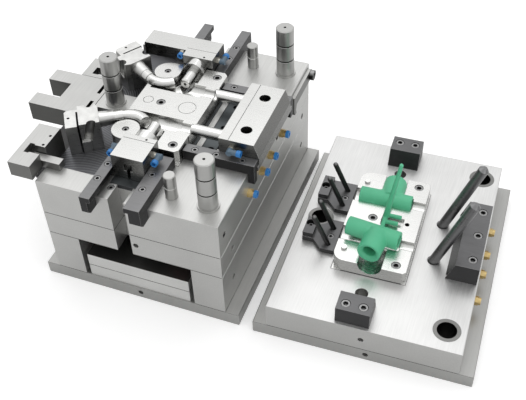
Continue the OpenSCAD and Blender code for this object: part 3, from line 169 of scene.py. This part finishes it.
    # Painted shade in corners, gaps and sockets, with lubricant there too
    corners = addNode(tree, "ShaderNodeAmbientOcclusion",
                      {"samples": steelDetail["cornerSamples"], "Distance": look["corner"]})
    cornerTone = addNode(tree, "ShaderNodeMapRange", {"From Min": steelDetail["cornerFrom"],
                         "From Max": steelDetail["cornerTo"], "To Min": look["cornerShade"], "To Max": 1.0},
                         {"Value": corners.outputs["AO"]})
    cornerShadedTone = addNode(tree, "ShaderNodeVectorMath", {"operation": "SCALE"},
                      {0: wearAndSheen.outputs[2], "Scale": cornerTone.outputs["Result"]})
    rough = addNode(tree, "ShaderNodeMapRange", {"From Min": steelDetail["roughFrom"],
                    "From Max": steelDetail["roughTo"],
                    "To Min": look["roughness"] - steelDetail["roughFall"] * look["streak"],
                    "To Max": look["roughness"] + steelDetail["roughRise"] * look["streak"]},
                    {"Value": streaks.outputs["Fac"]})
    bump = addNode(tree, "ShaderNodeBump", {"Strength": look["bump"], "Distance": steelDetail["bumpDepth"]},
                   {"Height": streaks.outputs["Fac"], "Normal": rounded.outputs["Normal"]})
    shader = addNode(tree, "ShaderNodeBsdfPrincipled", {"Metallic": look["metal"]},
                     {"Base Color": cornerShadedTone.outputs["Vector"], "Roughness": rough.outputs["Result"],
                      "Normal": bump.outputs["Normal"]})
    addNode(tree, "ShaderNodeOutputMaterial", {}, {"Surface": shader.outputs["BSDF"]})
    return finish, tree, cornerShadedTone, shader, coords


# Real grinding scratches are under 0.1 mm apart: they are drawn 2 to 3 mm apart so that they show.
# Where lowHeight is 0 nothing is sunken, and low and lowStreak don't show.
# In every look, top is the painted lit tone for faces turned up and side is the painted shaded tone for the
# rest: painted light from above
plateLook = {"top": "#dcdcda", "side": "#c6c6c4", "low": "#dcdcda", "lowStreak": "#dcdcda",
             "lowHeight": 0.0, "wearAndSheen": "#e4e4e2", "streak": 0.09, "cloud": 0.07, "roughness": 0.36,
             "grain": (380.0, 14.0, 380.0), "bump": 0.10, "edge": 0.0010, "rubAndSheen": 0.35, "metal": 0.9,
             "corner": 0.006, "cornerShade": 0.45, "seams": (0.032, 0.142, 0.202)}
# The core plate's sunken pocket floors get dark low tones: painted shade in the recess, with the cutter
# rings over it
corePlateLook = dict(plateLook, low="#55565a", lowStreak="#8c8d90", lowHeight=0.288)
cavityPlateLook = dict(plateLook, top="#ebebea", side="#bebebc", seams=(0.032,))
clampLook = dict(plateLook, top="#bcbcba", side="#b2b2b0", roughness=0.4, seams=(0.032,))
# The ejector plates' tops are painted dark and their sides pale: painted shade under the plates above them
innerPlateLook = dict(plateLook, top="#626260", side="#dcdcda", roughness=0.42, seams=(0.064,))
insertLook = dict(plateLook, top="#efefed", side="#b4b4b2", wearAndSheen="#ffffff", streak=0.035, cloud=0.04,
                  roughness=0.26, grain=(25.0, 380.0, 380.0), bump=0.012, rubAndSheen=0.45, metal=1.0, seams=())
slideLook = dict(insertLook, top="#e6e6e4", side="#777775", roughness=0.27)
swingBlockLook = dict(insertLook, side="#989896", roughness=0.3, grain=(60.0, 60.0, 420.0), streak=0.14)
coreLook = dict(insertLook, top="#f4f4f2", side="#b9b9b7", roughness=0.2, streak=0.02, bump=0.0, edge=0.0,
                rubAndSheen=0.0)
armLook = dict(plateLook, top="#d6d6d4", side="#565654", seams=())
bracketLook = dict(plateLook, top="#d2d2d0", side="#767674", seams=())
# Gas-nitrided rails and locks: a dark skin, with top faces painted paler as painted light from above and as
# wear from slides and hands
nitridedLook = dict(plateLook, top="#8f8f90", side="#343435", wearAndSheen="#bdbdbd", streak=0.14, cloud=0.16,
                    roughness=0.38, grain=(40.0, 320.0, 320.0), bump=0.08, edge=0.0012, rubAndSheen=0.5,
                    metal=0.85, seams=())
# The wear plates are dark as painted shade: a dark sheet between the gibs, where the plate lies in shade
# under and ahead of the slide
shadedWearPlateLook = dict(nitridedLook, top="#676c6e", side="#4a4c4e", rubAndSheen=0.15)
lockLook = dict(nitridedLook, top="#7a7a7b", side="#414142")
anglePinLook = dict(nitridedLook, top="#8e8e8f", side="#727273", roughness=0.28, grain=(60.0, 60.0, 260.0),
                    streak=0.05, cloud=0.06, bump=0.0, edge=0.0, rubAndSheen=0.0)
blackLook = dict(nitridedLook, top="#505050", side="#2c2c2d", wearAndSheen="#6a6a6a", roughness=0.42,
                 grain=(60.0, 320.0, 320.0), edge=0.001, rubAndSheen=0.4, metal=0.7)
# The screws' sockets go near black through the painted corner shade
screwLook = dict(blackLook, top="#a9a9a9", side="#242424", roughness=0.34, edge=0.0006, corner=0.005,
                 cornerShade=0.03)
pillarLook = dict(insertLook, top="#c6c6c4", side="#b0b0ae", wearAndSheen="#d6d6d4", streak=0.03, cloud=0.02,
                  roughness=0.33, grain=(4.0, 4.0, 300.0), bump=0.0, edge=0.0, rubAndSheen=0.0, cornerShade=0.85)
fingerLook = dict(blackLook, top="#7c7c7c", side="#3c3c3c", roughness=0.28, streak=0.04, cloud=0.06,
                  bump=0.0, edge=0.0, rubAndSheen=0.0)
bushLook = dict(pillarLook, top="#8a8a88", side="#4c4c4b", roughness=0.3)

plateSteel = machinedSteel("surfaceGroundPlateSteel", plateLook)[0]
corePlateSteel = machinedSteel("surfaceGroundCorePlateSteel", corePlateLook)[0]
cavityPlateSteel = machinedSteel("surfaceGroundCavityPlateSteel", cavityPlateLook)[0]
clampSteel = machinedSteel("milledClampPlateSteel", clampLook)[0]
innerPlateSteel = machinedSteel("milledEjectorPlateSteel", innerPlateLook)[0]
insertSteel = machinedSteel("polishedInsertSteel", insertLook)[0]
slideSteel = machinedSteel("groundSlideSteel", slideLook)[0]
swingBlockSteel = machinedSteel("groundSwingBlockSteel", swingBlockLook)[0]
coreSteel = machinedSteel("lappedCoreSteel", coreLook)[0]
armSteel = machinedSteel("groundArmSteel", armLook)[0]
bracketSteel = machinedSteel("groundBracketSteel", bracketLook)[0]
railSteel = machinedSteel("nitridedRailSteel", nitridedLook)[0]
# Wear plates coloured dark as painted shade
shadedWearPlateSteel = machinedSteel("wearPlateSteelDarkAsShade", shadedWearPlateLook)[0]
lockSteel = machinedSteel("nitridedLockSteel", lockLook)[0]
anglePinSteel = machinedSteel("nitridedAnglePinSteel", anglePinLook)[0]
# The side blocks are near-black: a dark block stands where the region under the arm's prong is dark, and
# shade falls there too
nearBlackSideBlockSteel = machinedSteel("nearBlackSideBlockSteel", blackLook)[0]
fingerSteel = machinedSteel("nitridedFingerSteel", fingerLook)[0]
returnPinSteel = machinedSteel("cylindricallyGroundReturnPinSteel", pillarLook)[0]
screwSteel = machinedSteel("blackOxideScrewSteel", screwLook)[0]
bushSteel = machinedSteel("hardenedBushSteel", bushLook)[0]
print("steels made")

# Guide pillars: cylindrically ground, with bands painted dark at the heights of the grooves
pillarFinish = machinedSteel("cylindricallyGroundPillarSteel", pillarLook)
pillarSteel, pillarTree, pillarTone, pillarShader, pillarCoords = pillarFinish
oilGrooves = {"heights": (0.334, 0.374), "halfWidth": 0.0017, "oil": "#2a2a28"}
heightOf = addNode(pillarTree, "ShaderNodeSeparateXYZ", {}, {"Vector": pillarCoords.outputs["Object"]})
oily = None
for groove in oilGrooves["heights"]:
    near = addNode(pillarTree, "ShaderNodeMath", {"operation": "COMPARE", 1: groove,
                   2: oilGrooves["halfWidth"]}, {0: heightOf.outputs["Z"]})
    if oily is None:
        oily = near
    else:
        oily = addNode(pillarTree, "ShaderNodeMath", {"operation": "MAXIMUM"},
                       {0: oily.outputs["Value"], 1: near.outputs["Value"]})
oiled = addNode(pillarTree, "ShaderNodeMix", {"data_type": "RGBA", 7: colour(oilGrooves["oil"])},
                {0: oily.outputs["Value"], 6: pillarTone.outputs["Vector"]})
pillarTree.links.new(oiled.outputs[2], pillarShader.inputs["Base Color"])


mouldedDetail = {"flowDetail": 2.0, "grainDetail": 1.0, "grainDepth": 0.0003,
                 "glowReach": (0.004, 0.008, 0.005), "glowScale": 0.5}


# Moulded plastics, enamel and turned brass: a faint drift of colour over a fine surface texture. Real
# mould texture is under 0.1 mm: it is drawn about 1 to 2 mm wide so that it shows.
def mouldedSurface(name, look):
    finish, tree = newFinish(name)
    coords = addNode(tree, "ShaderNodeTexCoord")
    flow = addNode(tree, "ShaderNodeTexNoise", {"Scale": look["flowScale"],
                   "Detail": mouldedDetail["flowDetail"]}, {"Vector": coords.outputs["Object"]})
    tone = addNode(tree, "ShaderNodeMix", {"data_type": "RGBA", 6: colour(look["dark"]),
                   7: colour(look["light"])}, {0: flow.outputs["Fac"]})
    grainNoise = addNode(tree, "ShaderNodeTexNoise", {"Scale": look["grainScale"],
                         "Detail": mouldedDetail["grainDetail"]}, {"Vector": coords.outputs["Object"]})
    bump = addNode(tree, "ShaderNodeBump", {"Strength": look["bump"],
                   "Distance": mouldedDetail["grainDepth"]}, {"Height": grainNoise.outputs["Fac"]})
    shader = addNode(tree, "ShaderNodeBsdfPrincipled", {"Roughness": look["roughness"], "IOR": look["ior"],
                     "Metallic": look.get("metal", 0.0), "Subsurface Weight": look.get("glow", 0.0),
                     "Subsurface Radius": mouldedDetail["glowReach"],
                     "Subsurface Scale": mouldedDetail["glowScale"]},
                     {"Base Color": tone.outputs[2], "Normal": bump.outputs["Normal"]})
    addNode(tree, "ShaderNodeOutputMaterial", {}, {"Surface": shader.outputs["BSDF"]})
    return finish


polypropyleneLook = {"dark": "#4cb287", "light": "#63c69b", "flowScale": 22.0, "grainScale": 500.0,
                     "bump": 0.08, "roughness": 0.42, "ior": 1.49, "glow": 0.08}
acetalLook = {"dark": "#2a6fb4", "light": "#3f8fd2", "flowScale": 60.0, "grainScale": 700.0,
              "bump": 0.05, "roughness": 0.3, "ior": 1.48}
enamelLook = {"dark": "#5e1f1c", "light": "#86302a", "flowScale": 90.0, "grainScale": 900.0,
              "bump": 0.05, "roughness": 0.32, "ior": 1.5}
brassLook = {"dark": "#c4a668", "light": "#e2cd98", "flowScale": 160.0, "grainScale": 1200.0,
             "bump": 0.12, "roughness": 0.3, "ior": 1.5, "metal": 1.0}
shotPlastic = mouldedSurface("mouldedPolypropylene", polypropyleneLook)
collarPlastic = mouldedSurface("mouldedAcetalCollar", acetalLook)
springPaint = mouldedSurface("enamelledSpringWire", enamelLook)
turnedBrass = mouldedSurface("turnedBrass", brassLook)

# Push-in fittings: a moulded nylon body, a nickel-plated hexagon against the slide and an acetal collar.
# A fitting is one solid, so its collar and hexagon are found by how near they lie to the points given here.
fittingLook = {
    "body": "#566b7c", "collar": "#2f7cc2", "nickel": "#c8c6bd", "reach": 0.0094,
    "grainScale": 700.0, "grainDetail": 1.0, "grainDepth": 0.0002,
    "bump": 0.08, "roughness": 0.34, "ior": 1.53,
    "collars": ((0.031, -0.1895, 0.332), (-0.067, -0.1895, 0.332), (0.031, 0.1895, 0.332),
                (-0.0625, 0.1445, 0.342), (0.1815, -0.1085, 0.332)),
    "hexagons": ((0.0185, -0.167, 0.332), (-0.0545, -0.167, 0.332), (0.0185, 0.167, 0.332),
                 (-0.0625, 0.159, 0.342), (0.159, -0.096, 0.332)),
}
fittingFinish, fittingTree = newFinish("nylonFittingWithNickelHexagon")
fittingPlace = addNode(fittingTree, "ShaderNodeTexCoord")


def nearAny(tree, place, points, reach):
    found = None
    for point in points:
        gap = addNode(tree, "ShaderNodeVectorMath", {"operation": "DISTANCE", 1: point}, {0: place})
        near = addNode(tree, "ShaderNodeMath", {"operation": "LESS_THAN", 1: reach},
                       {0: gap.outputs["Value"]})
        if found is None:
            found = near
        else:
            found = addNode(tree, "ShaderNodeMath", {"operation": "MAXIMUM"},
                            {0: found.outputs["Value"], 1: near.outputs["Value"]})
    return found


onCollar = nearAny(fittingTree, fittingPlace.outputs["Object"], fittingLook["collars"],
                   fittingLook["reach"])
onHexagon = nearAny(fittingTree, fittingPlace.outputs["Object"], fittingLook["hexagons"],
                    fittingLook["reach"])
bodyOrCollar = addNode(fittingTree, "ShaderNodeMix", {"data_type": "RGBA", 6: colour(fittingLook["body"]),
                       7: colour(fittingLook["collar"])}, {0: onCollar.outputs["Value"]})
fittingTone = addNode(fittingTree, "ShaderNodeMix", {"data_type": "RGBA", 7: colour(fittingLook["nickel"])},
                      {0: onHexagon.outputs["Value"], 6: bodyOrCollar.outputs[2]})
fittingGrain = addNode(fittingTree, "ShaderNodeTexNoise", {"Scale": fittingLook["grainScale"],
                       "Detail": fittingLook["grainDetail"]}, {"Vector": fittingPlace.outputs["Object"]})
fittingBump = addNode(fittingTree, "ShaderNodeBump", {"Strength": fittingLook["bump"],
                      "Distance": fittingLook["grainDepth"]}, {"Height": fittingGrain.outputs["Fac"]})
fittingShader = addNode(fittingTree, "ShaderNodeBsdfPrincipled",
                        {"Roughness": fittingLook["roughness"], "IOR": fittingLook["ior"]},
                        {"Base Color": fittingTone.outputs[2], "Metallic": onHexagon.outputs["Value"],
                         "Normal": fittingBump.outputs["Normal"]})
addNode(fittingTree, "ShaderNodeOutputMaterial", {}, {"Surface": fittingShader.outputs["BSDF"]})
print("plastics, paint and brass made")

finishOfPart = {
    "bottom_clamp_plate": clampSteel, "top_clamp_plate": clampSteel, "spacer_block_left": plateSteel,
    "spacer_block_right": plateSteel, "support_plate": plateSteel, "core_plate": corePlateSteel,
    "cavity_plate": cavityPlateSteel, "ejector_base_plate": innerPlateSteel,
    "ejector_retainer_plate": innerPlateSteel, "support_pillars": innerPlateSteel,
    "core_insert": insertSteel, "cavity_insert": insertSteel, "pivot_discs": insertSteel,
    "right_slide": slideSteel, "front_slide": slideSteel, "back_slide": slideSteel,
    "swing_block_front": swingBlockSteel, "swing_block_back": swingBlockSteel,
    "swing_core_front": coreSteel, "swing_core_back": coreSteel, "right_slide_cores": coreSteel,
    "front_slide_core": coreSteel, "back_slide_core": coreSteel, "locating_pins": coreSteel,
    "ejector_pins": coreSteel, "left_arm": armSteel, "side_brackets": bracketSteel,
    "link_bar": bracketSteel, "side_blocks": nearBlackSideBlockSteel, "cam_fingers": fingerSteel,
    "front_gibs": railSteel, "back_gibs": railSteel, "right_gibs": railSteel,
    "wear_plates": shadedWearPlateSteel, "finger_plates": lockSteel, "heel_block": lockSteel,
    "wedge_block_front": lockSteel, "wedge_block_back": lockSteel,
    "safety_strap": bracketSteel, "angle_pins": anglePinSteel, "guide_pillars": pillarSteel,
    "return_pins": returnPinSteel, "guide_bushes": bushSteel, "sprue_bush": bushSteel,
    "locating_ring": bushSteel, "ejector_guide_pins": bushSteel, "insert_screw_set": screwSteel,
    "plate_screw_set": screwSteel, "clamp_screw_set": screwSteel, "gib_screws": screwSteel,
    "fixed_half_screws": screwSteel, "ejector_plate_screws": screwSteel, "strap_bolt": screwSteel,
    "front_slide_fittings": fittingFinish, "back_slide_fittings": fittingFinish,
    "right_slide_fitting": fittingFinish,
    "water_collars": collarPlastic, "water_fittings": turnedBrass,
    "return_springs": springPaint, "moulded_shot": shotPlastic,
}
for partName, finish in finishOfPart.items():
    part = nodes[partName]
    for materialSlot in part.material_slots:
        materialSlot.material = finish
print("finishes given to", len(finishOfPart), "of", len(nodes), "parts")

# Return springs: round wire wound around the return pins, closed at both ends
springLook = {"coil": 0.0174, "wire": 0.0032, "turns": 7, "foot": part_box("ejector_retainer_plate")[1][2],
              "head": 0.172, "x": 0.0815, "y": 0.225, "stroke": 0.03, "wireSides": 14, "turnSteps": 28,
              "seat": 1.1, "merge": 0.00001, "crease": 50}
springRise = springLook["head"] - springLook["foot"]
springEnds = 2.0 * springLook["seat"] * springLook["wire"]
for side, springName in ((-1, "frontReturnSpring"), (1, "backReturnSpring")):
    bpy.ops.object.select_all(action="DESELECT")
    bpy.ops.mesh.primitive_circle_add(vertices=springLook["wireSides"], radius=springLook["wire"],
                                      fill_type="NOTHING", location=(springLook["coil"], 0.0, 0.0),
                                      rotation=(math.pi / 2, 0.0, 0.0))
    spring = bpy.context.object
    spring.name = springName
    bpy.ops.object.transform_apply(location=True, rotation=True, scale=True)
    winding = spring.modifiers.new("winding", "SCREW")
    winding.axis = "Z"
    winding.angle = 2 * math.pi
    winding.iterations = springLook["turns"]
    winding.steps = springLook["turnSteps"]
    winding.render_steps = springLook["turnSteps"]
    winding.screw_offset = (springRise - springEnds) / springLook["turns"]
    bpy.ops.object.modifier_apply(modifier="winding")
    bpy.ops.object.mode_set(mode="EDIT")
    bpy.ops.mesh.select_all(action="SELECT")
    bpy.ops.mesh.remove_doubles(threshold=springLook["merge"])
    bpy.ops.mesh.select_all(action="DESELECT")
    bpy.ops.mesh.select_mode(type="VERT")
    bpy.ops.mesh.select_non_manifold()
    bpy.ops.mesh.edge_face_add()
    bpy.ops.mesh.select_all(action="SELECT")
    bpy.ops.mesh.normals_make_consistent(inside=False)
    lift = springLook["foot"] + springLook["seat"] * springLook["wire"]
    bpy.ops.transform.translate(value=(springLook["x"], side * springLook["y"], lift))
    bpy.ops.object.mode_set(mode="OBJECT")
    bpy.ops.object.shade_smooth_by_angle(angle=math.radians(springLook["crease"]))
    spring.data.materials.append(springPaint)
    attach(spring, "mould_base")
    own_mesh(spring)
    if side < 0:
        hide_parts("return_springs")
print("return springs wound")

# The moulded shot: the solid's own form with the small radii that moulded plastic has in every corner
shotLook = {"voxel": 0.0013, "blend": 0.5, "passes": 7, "merge": 0.00002}
bpy.ops.object.select_all(action="DESELECT")
nodes["moulded_shot"].select_set(True)
bpy.context.view_layer.objects.active = nodes["moulded_shot"]
bpy.ops.object.duplicate()
shot = bpy.context.object
shot.name = "mouldedShotOfTwoTees"
bpy.ops.object.mode_set(mode="EDIT")
bpy.ops.mesh.select_all(action="SELECT")
bpy.ops.mesh.remove_doubles(threshold=shotLook["merge"])
bpy.ops.object.mode_set(mode="OBJECT")
closing = shot.modifiers.new("closing", "REMESH")
closing.mode = "VOXEL"
closing.voxel_size = shotLook["voxel"]
bpy.ops.object.modifier_apply(modifier="closing")
rounding = shot.modifiers.new("rounding", "SMOOTH")
rounding.factor = shotLook["blend"]
rounding.iterations = shotLook["passes"]
bpy.ops.object.modifier_apply(modifier="rounding")
bpy.ops.object.shade_smooth()
shot.data.materials.clear()
shot.data.materials.append(shotPlastic)
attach(shot, "mould_base")
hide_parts("moulded_shot")
print("moulded shot rounded")

# Floor and light: the camera sees the floor lifted towards white, and its shadows stay
floorLook = {"size": 14.0, "place": (0.2, 0.0, 0.0), "colour": "#f4f4f4", "lift": 0.3}
bpy.ops.object.select_all(action="DESELECT")
bpy.ops.mesh.primitive_plane_add(size=floorLook["size"], location=floorLook["place"])
floor = bpy.context.object
floor.name = "studioFloor"
floorPaint, floorTree = newFinish("matteFloorPaint")
floorShade = addNode(floorTree, "ShaderNodeBsdfDiffuse", {"Color": colour(floorLook["colour"])})
seenBy = addNode(floorTree, "ShaderNodeLightPath")
cameraOnly = addNode(floorTree, "ShaderNodeMath", {"operation": "MULTIPLY", 1: floorLook["lift"]},
                     {0: seenBy.outputs["Is Camera Ray"]})
floorGlow = addNode(floorTree, "ShaderNodeEmission", {}, {"Strength": cameraOnly.outputs["Value"]})
floorSum = addNode(floorTree, "ShaderNodeAddShader", {}, {0: floorShade.outputs["BSDF"],
                   1: floorGlow.outputs["Emission"]})
addNode(floorTree, "ShaderNodeOutputMaterial", {}, {"Surface": floorSum.outputs["Shader"]})
floor.data.materials.append(floorPaint)

# The sky is white to the eye, a plain fill on the object, and in mirror-like steel a fade from low to high
skyLook = {"colour": "#ffffff", "seen": 1.0, "fill": 0.85, "low": 0.78, "high": 0.95, "fadeTop": 0.8}
sky = bpy.data.worlds.new("studioSky")
scene.world = sky
sky.use_nodes = True
skyTree = sky.node_tree
skyTree.nodes.clear()
skySeenBy = addNode(skyTree, "ShaderNodeLightPath")
skyWay = addNode(skyTree, "ShaderNodeTexCoord")
skyUp = addNode(skyTree, "ShaderNodeSeparateXYZ", {}, {"Vector": skyWay.outputs["Generated"]})
mirrored = addNode(skyTree, "ShaderNodeMapRange", {"From Min": 0.0, "From Max": skyLook["fadeTop"],
                   "To Min": skyLook["low"], "To Max": skyLook["high"]}, {"Value": skyUp.outputs["Z"]})
direct = addNode(skyTree, "ShaderNodeMath", {"operation": "MAXIMUM"},
                 {0: skySeenBy.outputs["Is Camera Ray"], 1: skySeenBy.outputs["Is Transmission Ray"]})
diffuseOrMirror = addNode(skyTree, "ShaderNodeMix", {"data_type": "FLOAT", 2: skyLook["fill"]},
                          {0: skySeenBy.outputs["Is Glossy Ray"], 3: mirrored.outputs["Result"]})
skyStrength = addNode(skyTree, "ShaderNodeMix", {"data_type": "FLOAT", 3: skyLook["seen"]},
                      {0: direct.outputs["Value"], 2: diffuseOrMirror.outputs[0]})
skyGlow = addNode(skyTree, "ShaderNodeBackground", {"Color": colour(skyLook["colour"])},
                  {"Strength": skyStrength.outputs[0]})
addNode(skyTree, "ShaderNodeOutputWorld", {}, {"Surface": skyGlow.outputs["Background"]})

lampLooks = {
    "overheadSoftbox": {"place": (-0.3, 0.6, 2.6), "aim": (0.15, 0.0, 0.2), "size": 2.4, "watts": 11.5},
    "rightSoftbox": {"place": (2.6, -1.2, 1.6), "aim": (0.3, 0.0, 0.2), "size": 1.6, "watts": 6.0},
}
for lampName, lamp in lampLooks.items():
    bpy.ops.object.light_add(type="AREA", location=lamp["place"])
    softbox = bpy.context.object
    softbox.name = lampName
    softbox.data.size = lamp["size"]
    softbox.data.energy = lamp["watts"]
    away = Vector(lamp["place"]) - Vector(lamp["aim"])
    softbox.rotation_euler = away.to_track_quat("Z", "Y").to_euler()
print("floor and light set")

scene.view_settings.view_transform = "Standard"
bpy.context.view_layer.update()
